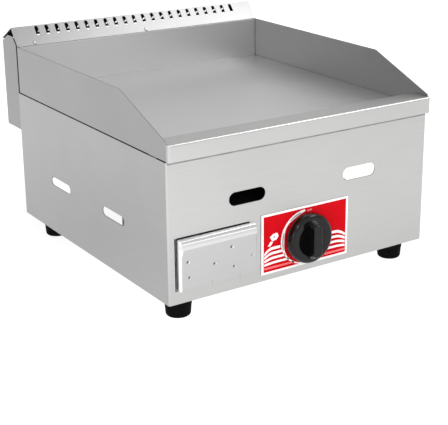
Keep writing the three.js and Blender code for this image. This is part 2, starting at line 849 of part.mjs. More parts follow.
// The crossover feeds both burner tubes from the mixing tube.
function crossoverTube() {
  const reach = BURNER_TUBE_X - BURNER_TUBE_RADIUS - GAP;
  const pipe = sideways(circle(0, 0, 14), -reach, reach, 10);
  const bore = sideways(circle(0, 0, 12.6), -reach - 1, reach + 1, 10);
  const inlet = turned([[0, -20], [12, -20], [12, 0], [0, 0]], 24);
  return cut(pipe, [bore, inlet.translate(KNOB_X, 0, 0)]);
}

function burnerTube(sign) {
  const r = BURNER_TUBE_RADIUS;
  const front = 84;
  const rear = 340;
  const inside = r - 1.5;
  const inlet = sideways(circle(CROSSOVER_Y, 0, 12.6), -r - 4, 0, 10);
  if (sign < 0) {
    inlet.translate(r + 4, 0, 0);
  }
  const ports = Array.from({ length: 12 }, (_, i) => {
    const y = front + 18 + i * 20;
    const port = box(-r - 2, r + 2, y, y + 7, -1, 1);
    port.translate(0, 0, 8);
    return port;
  });
  const shell = turned([[0, front], [r, front], [r, rear], [0, rear]], 24);
  const hollow = turned([[0, front + 1.5], [inside, front + 1.5], [inside, rear - 1.5], [0, rear - 1.5]], 24);
  return cut(shell, [hollow, inlet, ...ports]);
}

function burnerBracket(y) {
  const top = BURNER_Z - BURNER_TUBE_RADIUS - GAP;
  return box(-INNER_HALF, INNER_HALF, y, y + 16, top - 2, top);
}

const ELECTRODE = [-42, 120];

function heatShield() {
  const sheet = box(-90, 100, 42, 330, 90, 91.2);
  return cut(sheet, [level(circle(ELECTRODE[0], ELECTRODE[1], 4.4), 90, 95, 5)]);
}

function piezoIgniter() {
  const housing = box(-34, -14, 12, 38, 36, 58);
  const lug = box(-34, -30, SHEET + GAP, 13, 40, 54);
  const tail = turned([[0, 37], [4, 37], [4, 44], [0, 44]], 12);
  return join([housing, lug, tail.translate(-24, 0, 47)]);
}

function sparkElectrode() {
  return turnedUp(
    [
      [0, 84],
      [2, 84],
      [2, 88],
      [3.8, 88],
      [3.8, 112],
      [1.1, 114],
      [1.1, 126],
      [0, 126],
    ],
    12,
  );
}

function ignitionLead() {
  return tubeAlong(
    [
      [-24, 44.4, 47],
      [-26, 60, 48],
      [-36, 95, 58],
      [ELECTRODE[0], ELECTRODE[1] - 4, 70],
      [ELECTRODE[0], ELECTRODE[1], 83.6],
    ],
    1.5,
    8,
    20,
  );
}

// ---- Assembly ----

add("front_panel", frontPanel(), steel);
add("side_panel_left", sidePanel(-1), steel);
add("side_panel_right", sidePanel(1), steel);
add("back_panel", backPanel(), steel);
add("base_rail_left", baseRail(-1), steel);
add("base_rail_right", baseRail(1), steel);
for (const [end, y] of [["front", FOOT_Y[0]], ["rear", FOOT_Y[1]]]) {
  for (const [side, x] of [["left", -FOOT_X], ["right", FOOT_X]]) {
    add(`foot_${end}_${side}`, foot(), rubber, x, y);
    add(`foot_bolt_${end}_${side}`, footBolt(), zinc, x, y);
  }
}

add("griddle_plate", griddlePlate(), plateSteel);
add("splash_guard_left", splashGuard(-1), steel);
add("splash_guard_right", splashGuard(1), steel);
add("rear_guard", rearGuard(), steel);
add("front_fascia", frontFascia(), steel);
add("grease_trough", greaseTrough(), steel);
add("drain_spout", drainSpout(), steel, SPOUT_X, SPOUT_Y);
add("support_rail_left", supportRail(-1), steel);
add("support_rail_right", supportRail(1), steel);

add("vent_cowl", ventCowl(), steel);
add("cowl_rivet_left", cowlRivet(), steel, -173);
add("cowl_rivet_centre", cowlRivet(), steel, 5);
add("flue_back", flueBack(), steel);
add("flue_side_left", flueSide(-1), steel);
add("flue_side_right", flueSide(1), steel);

add("drawer_front", drawerFront(), steel);
add("drawer_pan", drawerPan(), steel);
add("drawer_runner_left", drawerRunner(-1), zinc);
add("drawer_runner_right", drawerRunner(1), zinc);
add("runner_tie", runnerTie(), zinc);

add("control_label", controlLabel(), red);
add("knob", knob(), plastic, KNOB_X, 0, KNOB_Z);
add("valve_stem", valveStem(), brass, KNOB_X, 0, KNOB_Z);
add("stem_spring", stemSpring(), spring, KNOB_X, 0, KNOB_Z);
add("tap_plug", tapPlug(), brass, KNOB_X, 0, KNOB_Z);
add("tap_body", tapBody(), brass, KNOB_X, 0, KNOB_Z);
add("tap_bonnet", tapBonnet(), brass, KNOB_X, 0, KNOB_Z);
add("bonnet_nut", bonnetNut(), zinc, KNOB_X, 0, KNOB_Z);

add("pipe_nut_tap", pipeNut(11), brass, KNOB_X + 22 + GAP, PORT_Y, KNOB_Z);
add("gas_pipe", gasPipe(), brass);
const inletNut = geometryOf(pipeNut(11));
inletNut.rotateZ(Math.PI / 2);
add("pipe_nut_inlet", inletNut, brass, INLET_X, 384, INLET_Z);
add("gas_inlet", gasInlet(), brass, INLET_X, 0, INLET_Z);
add("outlet_pipe", outletPipe(), brass, KNOB_X, PORT_Y, KNOB_Z);
add("injector_elbow", injectorElbow(), brass, KNOB_X);
add("injector", injector(), brass, KNOB_X, 0, BURNER_Z);

add("air_shutter", airShutter(), zinc, KNOB_X, 0, BURNER_Z);
add("mixing_tube", mixingTube(), castIron, KNOB_X, 0, BURNER_Z);
add("crossover_tube", crossoverTube(), castIron, 0, CROSSOVER_Y, BURNER_Z);
add("burner_tube_left", burnerTube(-1), castIron, -BURNER_TUBE_X, 0, BURNER_Z);
add("burner_tube_right", burnerTube(1), castIron, BURNER_TUBE_X, 0, BURNER_Z);
add("burner_bracket_front", burnerBracket(92), steel);
add("burner_bracket_rear", burnerBracket(318), steel);
add("heat_shield", heatShield(), enamel);
add("piezo_igniter", piezoIgniter(), plastic);
add("spark_electrode", sparkElectrode(), ceramic, ELECTRODE[0], ELECTRODE[1]);
add("ignition_lead", ignitionLead(), rubber);

export default griddle;
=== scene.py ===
"""Looks for the flat top griddle: folded stainless sheet, ground plate, printed label, moulded knob.

Everything is in metres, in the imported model's frame: X to the right, Y to the back, Z up from
the surface that the feet stand on. Pieces that a maker would form again, with bends, hems and
rounded edges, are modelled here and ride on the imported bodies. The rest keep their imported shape.
"""

import json
import math

import bpy
from mathutils import Matrix, Vector


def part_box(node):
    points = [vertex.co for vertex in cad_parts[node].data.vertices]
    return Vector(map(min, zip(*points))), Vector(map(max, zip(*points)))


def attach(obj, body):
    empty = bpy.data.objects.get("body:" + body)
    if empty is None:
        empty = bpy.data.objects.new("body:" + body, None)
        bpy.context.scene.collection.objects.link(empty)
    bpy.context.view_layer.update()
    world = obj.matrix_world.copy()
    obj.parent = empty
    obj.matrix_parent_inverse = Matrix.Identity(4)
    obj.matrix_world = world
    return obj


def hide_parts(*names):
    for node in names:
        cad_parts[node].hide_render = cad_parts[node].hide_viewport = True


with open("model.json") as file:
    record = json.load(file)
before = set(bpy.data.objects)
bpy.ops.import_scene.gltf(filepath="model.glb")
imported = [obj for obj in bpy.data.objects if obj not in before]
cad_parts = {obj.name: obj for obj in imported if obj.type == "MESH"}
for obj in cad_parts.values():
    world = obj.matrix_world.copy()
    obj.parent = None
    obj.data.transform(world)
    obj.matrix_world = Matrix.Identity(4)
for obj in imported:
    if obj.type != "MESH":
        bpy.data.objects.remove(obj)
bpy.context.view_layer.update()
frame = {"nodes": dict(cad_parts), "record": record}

MM = 0.001
KNOB_CENTRE = Vector((0.001, 0.0, 0.075))
PANEL_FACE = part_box("front_panel")[0].y
FOOT_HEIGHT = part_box("front_panel")[0].z

BODY_OF = {
    node: body
    for body, nodes in frame["record"]["behaviour"]["bodies"].items()
    for node in nodes
}
SLOT_OF = {part["node"]: part["material_slot"] for part in frame["record"]["subparts"]}

# How far a place may be off and still count as on a plane.
ON_PLANE = 1e-5


# ---- Working helpers ----

def work_on(*pieces):
    """Leaves only these pieces selected, with the first one active."""
    bpy.ops.object.select_all(action="DESELECT")
    for piece in pieces:
        piece.select_set(True)
    bpy.context.view_layer.objects.active = pieces[0]


def place_in_mesh(piece):
    """Puts the object back at the origin, with its place in its mesh."""
    work_on(piece)
    bpy.ops.object.transform_apply(location=True, rotation=True, scale=True)


def pick(piece, kind, test):
    """In edit mode, selects the faces, edges or vertices that pass the test."""
    bpy.ops.object.mode_set(mode="EDIT")
    bpy.ops.mesh.select_mode(type={"faces": "FACE", "edges": "EDGE", "verts": "VERT"}[kind])
    bpy.ops.mesh.select_all(action="DESELECT")
    bpy.ops.object.mode_set(mode="OBJECT")
    mesh = piece.data
    if kind == "faces":
        for face in mesh.polygons:
            face.select = test(face.center, face.normal)
    elif kind == "edges":
        for edge in mesh.edges:
            a, b = (mesh.vertices[i].co for i in edge.vertices)
            edge.select = test((a + b) / 2, (b - a).normalized())
    else:
        for vertex in mesh.vertices:
            vertex.select = test(vertex.co)
    bpy.ops.object.mode_set(mode="EDIT")


def done_editing():
    bpy.ops.object.mode_set(mode="OBJECT")


def apply_modifier(piece, kind, **settings):
    """Adds a modifier, sets it up and applies it."""
    work_on(piece)
    modifier = piece.modifiers.new(kind.lower(), kind)
    for name, value in settings.items():
        setattr(modifier, name, value)
    bpy.ops.object.modifier_apply(modifier=modifier.name)


def round_edges(piece, width, segments=2, angle=30):
    apply_modifier(
        piece,
        "BEVEL",
        width=width,
        segments=segments,
        limit_method="ANGLE",
        angle_limit=math.radians(angle),
        use_clamp_overlap=True,
    )


def smooth(piece, angle=32):
    """Smooth shading that keeps the flats flat."""
    work_on(piece)
    bpy.ops.object.shade_smooth_by_angle(angle=math.radians(angle))
    apply_modifier(piece, "WEIGHTED_NORMAL", keep_sharp=True, weight=80)


def cut_with(piece, cutter, operation="DIFFERENCE"):
    apply_modifier(piece, "BOOLEAN", object=cutter, operation=operation, solver="EXACT")
    bpy.data.objects.remove(cutter, do_unlink=True)


def block(name, low, high):
    """A box between two corners."""
    low, high = Vector(low), Vector(high)
    bpy.ops.mesh.primitive_cube_add(size=1, location=(low + high) / 2)
    piece = bpy.context.object
    piece.name = name
    piece.scale = high - low
    place_in_mesh(piece)
    return piece


def disc(name, centre, radius, depth, sides=64, turn=(math.pi / 2, 0, 0)):
    """A cylinder about a centre, along Y unless turned another way."""
    bpy.ops.mesh.primitive_cylinder_add(
        vertices=sides, radius=radius, depth=depth, location=centre, rotation=turn
    )
    piece = bpy.context.object
    piece.name = name
    place_in_mesh(piece)
    return piece


def spun(name, profile, centre, steps=64):
    """A ring turned about a Z axis from a closed outline of (radius, height) points."""
    bpy.ops.mesh.primitive_circle_add(vertices=len(profile), radius=0.01, fill_type="NOTHING")
    piece = bpy.context.object
    piece.name = name
    for vertex, (radius, height) in zip(piece.data.vertices, profile):
        vertex.co = (radius, 0, height)
    work_on(piece)
    bpy.ops.object.mode_set(mode="EDIT")
    bpy.ops.mesh.select_all(action="SELECT")
    bpy.ops.mesh.spin(steps=steps, angle=2 * math.pi, center=(0, 0, 0), axis=(0, 0, 1))
    bpy.ops.mesh.select_all(action="SELECT")
    bpy.ops.mesh.remove_doubles(threshold=1e-6)
    bpy.ops.mesh.normals_make_consistent(inside=False)
    done_editing()
    piece.location = centre
    place_in_mesh(piece)
    return piece


def formed(node, edge, name=None):
    """A merged copy of a packed sheet, with its edges softened by so many millimetres."""
    source = frame["nodes"][node]
    piece = source.copy()
    piece.data = source.data.copy()
    piece.parent = None
    piece.matrix_world = Matrix.Identity(4)
    piece.name = name or node + "_formed"
    bpy.context.collection.objects.link(piece)
    work_on(piece)
    bpy.ops.object.mode_set(mode="EDIT")
    bpy.ops.mesh.select_all(action="SELECT")
    bpy.ops.mesh.remove_doubles(threshold=5e-6)
    bpy.ops.mesh.dissolve_limited(angle_limit=math.radians(0.5))
    done_editing()
    round_edges(piece, edge * MM)
    smooth(piece)
    return piece


def finish_piece(piece, material, body="casing", stands_for=()):
    """Gives a piece its material, its body and the nodes that it stands for."""
    piece.data.materials.clear()
    piece.data.materials.append(material)
    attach(piece, body)
    if stands_for:
        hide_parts(*stands_for)
    return piece


def refinish(piece, material, test):
    """Gives the faces that pass the test another finish."""
    work_on(piece)
    piece.data.materials.append(material)
    pick(piece, "faces", test)
    piece.active_material_index = len(piece.data.materials) - 1
    bpy.ops.object.material_slot_assign()
    done_editing()


# ---- Shared effects ----

def new_group(name, inputs, outputs):
    group = bpy.data.node_groups.new(name, "ShaderNodeTree")
    for label, kind, default in inputs:
        socket = group.interface.new_socket(name=label, in_out="INPUT", socket_type=kind)
        if default is not None:
            socket.default_value = default
    for label, kind in outputs:
        group.interface.new_socket(name=label, in_out="OUTPUT", socket_type=kind)
    source = group.nodes.new("NodeGroupInput")
    sink = group.nodes.new("NodeGroupOutput")
    return group, source, sink


def node(tree, kind, **settings):
    made = tree.nodes.new(kind)
    for name, value in settings.items():
        setattr(made, name, value)
    return made


def math_node(tree, operation, a, b=None):
    made = node(tree, "ShaderNodeMath", operation=operation)
    for socket, value in zip(made.inputs, (a, b)):
        if value is None:
            continue
        if isinstance(value, (int, float)):
            socket.default_value = value
        else:
            tree.links.new(value, socket)
    return made.outputs[0]


def build_brushing():
    """Fine scratches along one direction, with slow blotches of tone over them."""
    group, source, sink = new_group(
        "brushing",
        [
            ("Vector", "NodeSocketVector", None),
            ("Stretch", "NodeSocketVector", (20, 900, 900)),
            ("Blotch Scale", "NodeSocketFloat", 9.0),
        ],
        [("Scratches", "NodeSocketFloat"), ("Blotches", "NodeSocketFloat")],
    )
    stretch = node(group, "ShaderNodeVectorMath", operation="MULTIPLY")
    group.links.new(source.outputs["Vector"], stretch.inputs[0])
    group.links.new(source.outputs["Stretch"], stretch.inputs[1])
    fine = node(group, "ShaderNodeTexNoise")
    fine.inputs["Scale"].default_value = 1.0
    fine.inputs["Detail"].default_value = 4.0
    fine.inputs["Roughness"].default_value = 0.7
    group.links.new(stretch.outputs[0], fine.inputs["Vector"])
    slow = node(group, "ShaderNodeTexNoise")
    slow.inputs["Detail"].default_value = 3.0
    group.links.new(source.outputs["Vector"], slow.inputs["Vector"])
    group.links.new(source.outputs["Blotch Scale"], slow.inputs["Scale"])
    group.links.new(fine.outputs["Fac"], sink.inputs["Scratches"])
    group.links.new(slow.outputs["Fac"], sink.inputs["Blotches"])
    return group


def build_smudges():
    """Soft patches where hands and cloths have dulled a surface, and specks of dust."""
    group, source, sink = new_group(
        "smudges",
        [("Vector", "NodeSocketVector", None), ("Scale", "NodeSocketFloat", 20.0)],
        [("Patches", "NodeSocketFloat"), ("Specks", "NodeSocketFloat")],
    )
    patches = node(group, "ShaderNodeTexNoise")
    patches.inputs["Detail"].default_value = 5.0
    patches.inputs["Distortion"].default_value = 0.6
    group.links.new(source.outputs["Vector"], patches.inputs["Vector"])
    group.links.new(source.outputs["Scale"], patches.inputs["Scale"])
    specks = node(group, "ShaderNodeTexNoise")
    specks.inputs["Detail"].default_value = 2.0
    group.links.new(source.outputs["Vector"], specks.inputs["Vector"])
    finer = math_node(group, "MULTIPLY", source.outputs["Scale"], 40.0)
    group.links.new(finer, specks.inputs["Scale"])
    ramp = node(group, "ShaderNodeMapRange")
    ramp.inputs["From Min"].default_value = 0.35
    ramp.inputs["From Max"].default_value = 0.65
    group.links.new(patches.outputs["Fac"], ramp.inputs["Value"])
    group.links.new(ramp.outputs["Result"], sink.inputs["Patches"])
    group.links.new(specks.outputs["Fac"], sink.inputs["Specks"])
    return group


BRUSHING = build_brushing()
SMUDGES = build_smudges()


# ---- Materials ----

def new_material(name, roughness=0.4, metallic=0.0):
    """A material with its Principled shader, object coordinates and tree at hand."""
    material = bpy.data.materials.new(name)
    material.use_nodes = True
    tree = material.node_tree
    shader = tree.nodes["Principled BSDF"]
    shader.inputs["Roughness"].default_value = roughness
    shader.inputs["Metallic"].default_value = metallic
    place = node(tree, "ShaderNodeTexCoord").outputs["Object"]
    return material, tree, shader, place


def placed_group(tree, group, place, **values):
    made = node(tree, "ShaderNodeGroup", node_tree=group)
    tree.links.new(place, made.inputs["Vector"])
    for label, value in values.items():
        made.inputs[label.replace("_", " ")].default_value = value
    return made


def ranged(tree, value, low, high, start=0.0, end=1.0):
    made = node(tree, "ShaderNodeMapRange")
    for label, number in (("From Min", start), ("From Max", end), ("To Min", low), ("To Max", high)):
        made.inputs[label].default_value = number
    tree.links.new(value, made.inputs["Value"])
    return made.outputs["Result"]


def tinted(tree, factor, dark, light):
    """A colour between two, by a factor that changes over the surface."""
    made = node(tree, "ShaderNodeMix", data_type="RGBA")
    made.inputs["A"].default_value = (*dark, 1)
    made.inputs["B"].default_value = (*light, 1)
    tree.links.new(factor, made.inputs["Factor"])
    return made.outputs["Result"]


def bumped(tree, shader, height, strength, distance):
    bump = node(tree, "ShaderNodeBump")
    bump.inputs["Strength"].default_value = strength
    bump.inputs["Distance"].default_value = distance
    tree.links.new(height, bump.inputs["Height"])
    tree.links.new(bump.outputs["Normal"], shader.inputs["Normal"])


# How much the scratches, and the slower blotches or smudges, count in tone and in roughness.
TONE_SHARES = (0.6, 0.4)
ROUGHNESS_SHARES = (0.7, 0.3)
SCRATCH_DEPTH = 0.2 * MM
SPECK_DEPTH = 0.3 * MM


def brushed_sheet(name, tone, stretch, roughness=(0.3, 0.42), blotch=7.0, spread=0.04, bump=0.08):
    """Stainless sheet, brushed along the direction with the smallest stretch."""
    material, tree, shader, place = new_material(name, metallic=1.0)
    grain = placed_group(tree, BRUSHING, place, Stretch=stretch, Blotch_Scale=blotch)
    smudge = placed_group(tree, SMUDGES, place, Scale=11.0)
    mixed = math_node(tree, "MULTIPLY_ADD", grain.outputs["Scratches"], TONE_SHARES[0])
    blotches = math_node(tree, "MULTIPLY", grain.outputs["Blotches"], TONE_SHARES[1])
    tree.links.new(blotches, mixed.node.inputs[2])
    dark = [max(0.0, c - spread) for c in tone]
    light = [min(1.0, c + spread) for c in tone]
    tree.links.new(tinted(tree, mixed, dark, light), shader.inputs["Base Color"])
    rough = math_node(tree, "MULTIPLY_ADD", smudge.outputs["Patches"], ROUGHNESS_SHARES[1])
    scratches = math_node(tree, "MULTIPLY", grain.outputs["Scratches"], ROUGHNESS_SHARES[0])
    tree.links.new(scratches, rough.node.inputs[2])
    tree.links.new(ranged(tree, rough, *roughness), shader.inputs["Roughness"])
    bumped(tree, shader, grain.outputs["Scratches"], bump, SCRATCH_DEPTH)
    return material


def mottled(name, dark, light, roughness, scale=60.0, bump=0.1, metallic=1.0, gloss=0.5):
    """Metal, rubber, plastic or print: mottled tone, varied roughness, a little surface relief."""
    material, tree, shader, place = new_material(name, metallic=metallic)
    shader.inputs["Specular IOR Level"].default_value = gloss
    smudge = placed_group(tree, SMUDGES, place, Scale=scale)
    tree.links.new(tinted(tree, smudge.outputs["Patches"], dark, light), shader.inputs["Base Color"])
    tree.links.new(ranged(tree, smudge.outputs["Specks"], *roughness), shader.inputs["Roughness"])
    bumped(tree, shader, smudge.outputs["Specks"], bump, SPECK_DEPTH)
    return material


ALONG_X = (14, 1100, 1100)
ALONG_Y = (1100, 14, 1100)
ALONG_Z = (1100, 1100, 14)


def grey(tone):
    return (tone, tone, tone)


# The casing's sheets are one stainless steel; their tones differ as painted light and shade. Each
# panel's base colour is set lighter or darker for the light that falls on it: the sides, the left
# guard, the flue and the cowl are painted darker, and the rear guard lighter.
FRONT_STEEL = brushed_sheet("front_steel", (0.465, 0.465, 0.46), ALONG_X, blotch=5.0, spread=0.09)
FASCIA_STEEL = brushed_sheet("fascia_steel", (0.48, 0.48, 0.475), ALONG_X)
SIDE_SHADED_STEEL = brushed_sheet("side_shaded_steel", grey(0.375), ALONG_Y, blotch=5.0, spread=0.08)
TRAY_STEEL = brushed_sheet("tray_steel", grey(0.4), ALONG_Y, roughness=(0.28, 0.4))
LEFT_GUARD_SHADED_STEEL = brushed_sheet("left_guard_shaded_steel", grey(0.31), ALONG_Y, roughness=(0.28, 0.4))
FLUE_SHADED_STEEL = brushed_sheet("flue_shaded_steel", grey(0.29), ALONG_Z)
REAR_LIT_STEEL = brushed_sheet("rear_lit_steel", grey(0.57), ALONG_X)
COWL_SHADED_STEEL = brushed_sheet("cowl_shaded_steel", grey(0.29), ALONG_X)
PLATE_STEEL = brushed_sheet("plate_steel", grey(0.62), ALONG_Y, roughness=(0.34, 0.46), spread=0.03)
DRAWER_STEEL = brushed_sheet("drawer_steel", grey(0.46), ALONG_X)
# Lighter copies of the drawer steel, as painted highlight: the lip band and the drawer front's up- and
# left-facing bends get a brighter base colour for the light that falls on them.
LIP_HIGHLIGHT_STEEL = brushed_sheet("lip_highlight_steel", grey(0.6), ALONG_X)
PAINTED_HIGHLIGHT_BEND = brushed_sheet("painted_highlight_bend", grey(0.93), ALONG_X, roughness=(0.4, 0.55), spread=0.02)
INNER_STEEL = brushed_sheet("inner_steel", grey(0.5), ALONG_X, roughness=(0.35, 0.5))
ZINC = mottled("zinc", (0.5, 0.52, 0.54), (0.66, 0.67, 0.68), (0.3, 0.45), scale=90)
WIRE = mottled("spring_wire", (0.35, 0.36, 0.37), (0.5, 0.5, 0.5), (0.25, 0.4), scale=300)
BRASS = mottled("brass", (0.55, 0.38, 0.12), (0.7, 0.5, 0.2), (0.22, 0.42), scale=80)
WELD = mottled("weld_mark", grey(0.13), grey(0.22), (0.4, 0.6), scale=400, bump=0.4)
IRON = mottled(
    "cast_iron",
    (0.03, 0.028, 0.026),
    (0.09, 0.08, 0.07),
    (0.55, 0.85),
    scale=160,
    bump=0.5,
    metallic=0.6,
)


def unplated(name, dark, light, roughness, **settings):
    """A finish that is no metal."""
    return mottled(name, dark, light, roughness, metallic=0.0, **settings)


# Mid grey that stands for shade: the painted shadow line under the fascia's overhang.
SHADOW_STRIP_GREY = unplated("painted_shadow_grey", grey(0.26), grey(0.33), (0.5, 0.7), gloss=0.2)
# Near-black finish that stands for shade: painted shade on the flue's inner faces, so that the slots
# look dark.
PAINTED_FLUE_SHADE = unplated("painted_flue_shade", grey(0.01), (0.03, 0.028, 0.026), (0.8, 0.95), scale=90, gloss=0.1)
ENAMEL = unplated(
    "black_enamel", (0.008, 0.008, 0.009), (0.02, 0.02, 0.021), (0.3, 0.5), scale=70, gloss=0.3
)
RUBBER = unplated(
    "black_rubber", grey(0.002), grey(0.005), (0.5, 0.75), scale=120, bump=0.3, gloss=0.03
)
PLASTIC = unplated(
    "black_plastic",
    grey(0.0015),
    (0.003, 0.003, 0.0028),
    (0.1, 0.16),
    scale=150,
    bump=0.03,
    gloss=0.26,
)
CERAMIC = unplated("ceramic", (0.74, 0.72, 0.66), (0.84, 0.82, 0.77), (0.2, 0.35), scale=200)


def printed(name, dark, light):
    """One colour of the label's matt ink."""
    return unplated(name, dark, light, (0.34, 0.46), scale=30, bump=0.02, gloss=0.02)


PRINT_RED = printed("print_red", (0.5, 0.003, 0.007), (0.56, 0.004, 0.01))
PRINT_WHITE = printed("print_white", (0.84, 0.82, 0.82), (0.92, 0.91, 0.91))
PRINT_GREY = printed("print_grey", (0.34, 0.33, 0.34), (0.44, 0.44, 0.44))
PRINT_PINK = printed("print_pink", (0.8, 0.14, 0.15), (0.84, 0.2, 0.2))

PACKED_FINISHES = {
    "casing_steel": INNER_STEEL,
    "plate_steel": PLATE_STEEL,
    "zinc_plate": ZINC,
    "spring_wire": WIRE,
    "black_enamel": ENAMEL,
    "cast_iron": IRON,
    "brass": BRASS,
    "black_rubber": RUBBER,
    "black_plastic": PLASTIC,
    "red_label": PRINT_RED,
    "ceramic": CERAMIC,
}


def paint_packed_nodes():
    for name, piece in frame["nodes"].items():
        piece.data.materials.clear()
        piece.data.materials.append(PACKED_FINISHES[SLOT_OF[name]])


# ---- Sheet metal ----

SHEET_FINISHES = {
    "front_panel": FRONT_STEEL,
    "side_panel_left": SIDE_SHADED_STEEL,
    "side_panel_right": SIDE_SHADED_STEEL,
    "splash_guard_left": LEFT_GUARD_SHADED_STEEL,
    "splash_guard_right": TRAY_STEEL,
    "rear_guard": REAR_LIT_STEEL,
    "front_fascia": FASCIA_STEEL,
    "vent_cowl": COWL_SHADED_STEEL,
    "flue_back": COWL_SHADED_STEEL,
    "flue_side_left": FLUE_SHADED_STEEL,
    "flue_side_right": FLUE_SHADED_STEEL,
    "griddle_plate": PLATE_STEEL,
    "back_panel": FRONT_STEEL,
    "base_rail_left": INNER_STEEL,
    "base_rail_right": INNER_STEEL,
}
# The flue's inner faces, picked by the way that they point, which take a near-black finish as painted
# shade inside the flue.
PAINTED_FLUE_SHADE_FACES = {
    "flue_back": lambda centre, normal: normal.y < -0.5,
    "vent_cowl": lambda centre, normal: normal.z < -0.2,
}
SHEET_EDGE = 0.35
PLATE_EDGE = 0.8


def make_sheets():
    for name, material in SHEET_FINISHES.items():
        piece = formed(name, edge=PLATE_EDGE if name == "griddle_plate" else SHEET_EDGE)
        finish_piece(piece, material, BODY_OF[name], [name])
        # The flue's inner faces take the painted shade.
        if name in PAINTED_FLUE_SHADE_FACES:
            refinish(piece, PAINTED_FLUE_SHADE, PAINTED_FLUE_SHADE_FACES[name])


# The strip of painted shadow under the fascia's overhang.
SHADOW_STRIP_HEIGHT = 3.0 * MM
SHADOW_STRIP_REACH = 0.5 * MM
SHADOW_STRIP_END_MARGIN = 2 * MM


def make_fascia_shadow_strip():
    """A grey strip along the panel's top edge, under the fascia's overhang: a painted shadow line
    where the fascia overhangs the panel.
    """
    low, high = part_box("front_panel")
    shadow_strip = block(
        "fascia_shadow_strip",
        (low.x + SHADOW_STRIP_END_MARGIN, PANEL_FACE - SHADOW_STRIP_REACH, high.z - SHADOW_STRIP_HEIGHT),
        (high.x - SHADOW_STRIP_END_MARGIN, PANEL_FACE + SHADOW_STRIP_REACH / 2, high.z),
    )
    round_edges(shadow_strip, SHADOW_STRIP_REACH * 0.6, 3)
    smooth(shadow_strip, 60)
    finish_piece(shadow_strip, SHADOW_STRIP_GREY, "casing")


# ---- Drawer front ----

DRAWER_REACH = 7 * MM
DRAWER_SHEET = 1.0 * MM
TOP_BEND = 3.4 * MM
LEFT_BEND = 4.6 * MM
SMALL_BEND = 1.4 * MM
BEND_STEPS = 6
FLANGE_LIFT = 0.8 * MM
# How far down from the top the up-facing faces take the painted highlight.
TOP_HIGHLIGHT_DEPTH = 20 * MM
# How far the lip stands out (+) or sinks in (-) at each depth under the drawer front's top edge.
LIP_SECTION = ((3.9, -0.7), (4.9, 0.3), (11.0, 1.7), (18.0, 0.4))
# The depths under the top edge between which the lip band takes the painted highlight.
LIP_HIGHLIGHT_DEPTHS = (4.5 * MM, 11.0 * MM)
LIP_CATCH = 0.2 * MM
WELD_MARKS = ((-177, 54), (-175, 34), (-139.5, 44), (-115, 60), (-111.5, 34))
FAINT_MARKS = ((-142, 20.5), (-102, 20.5), (-84.5, 43))
DIMPLE_RADIUS = 3.2 * MM
DIMPLE_OFFSET = 2.5 * MM
WELD_RADIUS = 1.5 * MM
WELD_DEPTH = 0.5 * MM
WELD_SINK = 0.6 * MM
WELD_EDGE = 0.15 * MM


def bend_drawer_edges(piece, face):
    """Rounds the drawer front's forward edges: broad at the top and left, tight elsewhere."""
    low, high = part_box("drawer_front")
    bends = (
        (LEFT_BEND, lambda c: abs(c.x - low.x) < ON_PLANE),
        (TOP_BEND, lambda c: abs(c.z - high.z) < ON_PLANE),
        (SMALL_BEND, lambda c: abs(c.x - high.x) < ON_PLANE or abs(c.z - low.z) < ON_PLANE),
    )
    for radius, on_edge in bends:
        pick(piece, "edges", lambda c, d: abs(c.y - face) < ON_PLANE and on_edge(c))
        bpy.ops.mesh.bevel(offset=radius, segments=BEND_STEPS, affect="EDGES")
        done_editing()
    pick(
        piece,
        "verts",
        lambda v: abs(v.y - high.y) < ON_PLANE and abs(v.z - high.z) < ON_PLANE,
    )
    bpy.ops.transform.translate(value=(0, 0, FLANGE_LIFT))
    done_editing()


def press_lip(piece, face, top):
    """Cuts the face across at each depth of the lip's section and moves each cut out or in."""
    for depth, _ in LIP_SECTION:
        work_on(piece)
        bpy.ops.object.mode_set(mode="EDIT")
        bpy.ops.mesh.select_all(action="SELECT")
        bpy.ops.mesh.bisect(plane_co=(0, 0, top - depth * MM), plane_no=(0, 0, 1))
        done_editing()
    for depth, reach in LIP_SECTION:
        height = top - depth * MM
        pick(
            piece,
            "verts",
            lambda v: v.y < face + LIP_CATCH and abs(v.z - height) < 2 * ON_PLANE,
        )
        bpy.ops.transform.translate(value=(0, -reach * MM, 0))
        done_editing()


def press_dimples(piece, face):
    """A shallow dimple at every weld."""
    for x, z in WELD_MARKS + FAINT_MARKS:
        bpy.ops.mesh.primitive_uv_sphere_add(
            segments=40,
            ring_count=24,
            radius=DIMPLE_RADIUS,
            location=(x * MM, face - DIMPLE_OFFSET, FOOT_HEIGHT + z * MM),
            rotation=(math.pi / 2, 0, 0),
        )
        dimple = bpy.context.object
        place_in_mesh(dimple)
        cut_with(piece, dimple)


def make_weld_spots(face):
    """The darker spot in each of the strong dimples."""
    for i, (x, z) in enumerate(WELD_MARKS):
        centre = (x * MM, face + WELD_SINK, FOOT_HEIGHT + z * MM)
        mark = disc(f"weld_mark_{i + 1}", centre, WELD_RADIUS, WELD_DEPTH, 20)
        round_edges(mark, WELD_EDGE, 1)
        smooth(mark, 40)
        finish_piece(mark, WELD, "drawer")


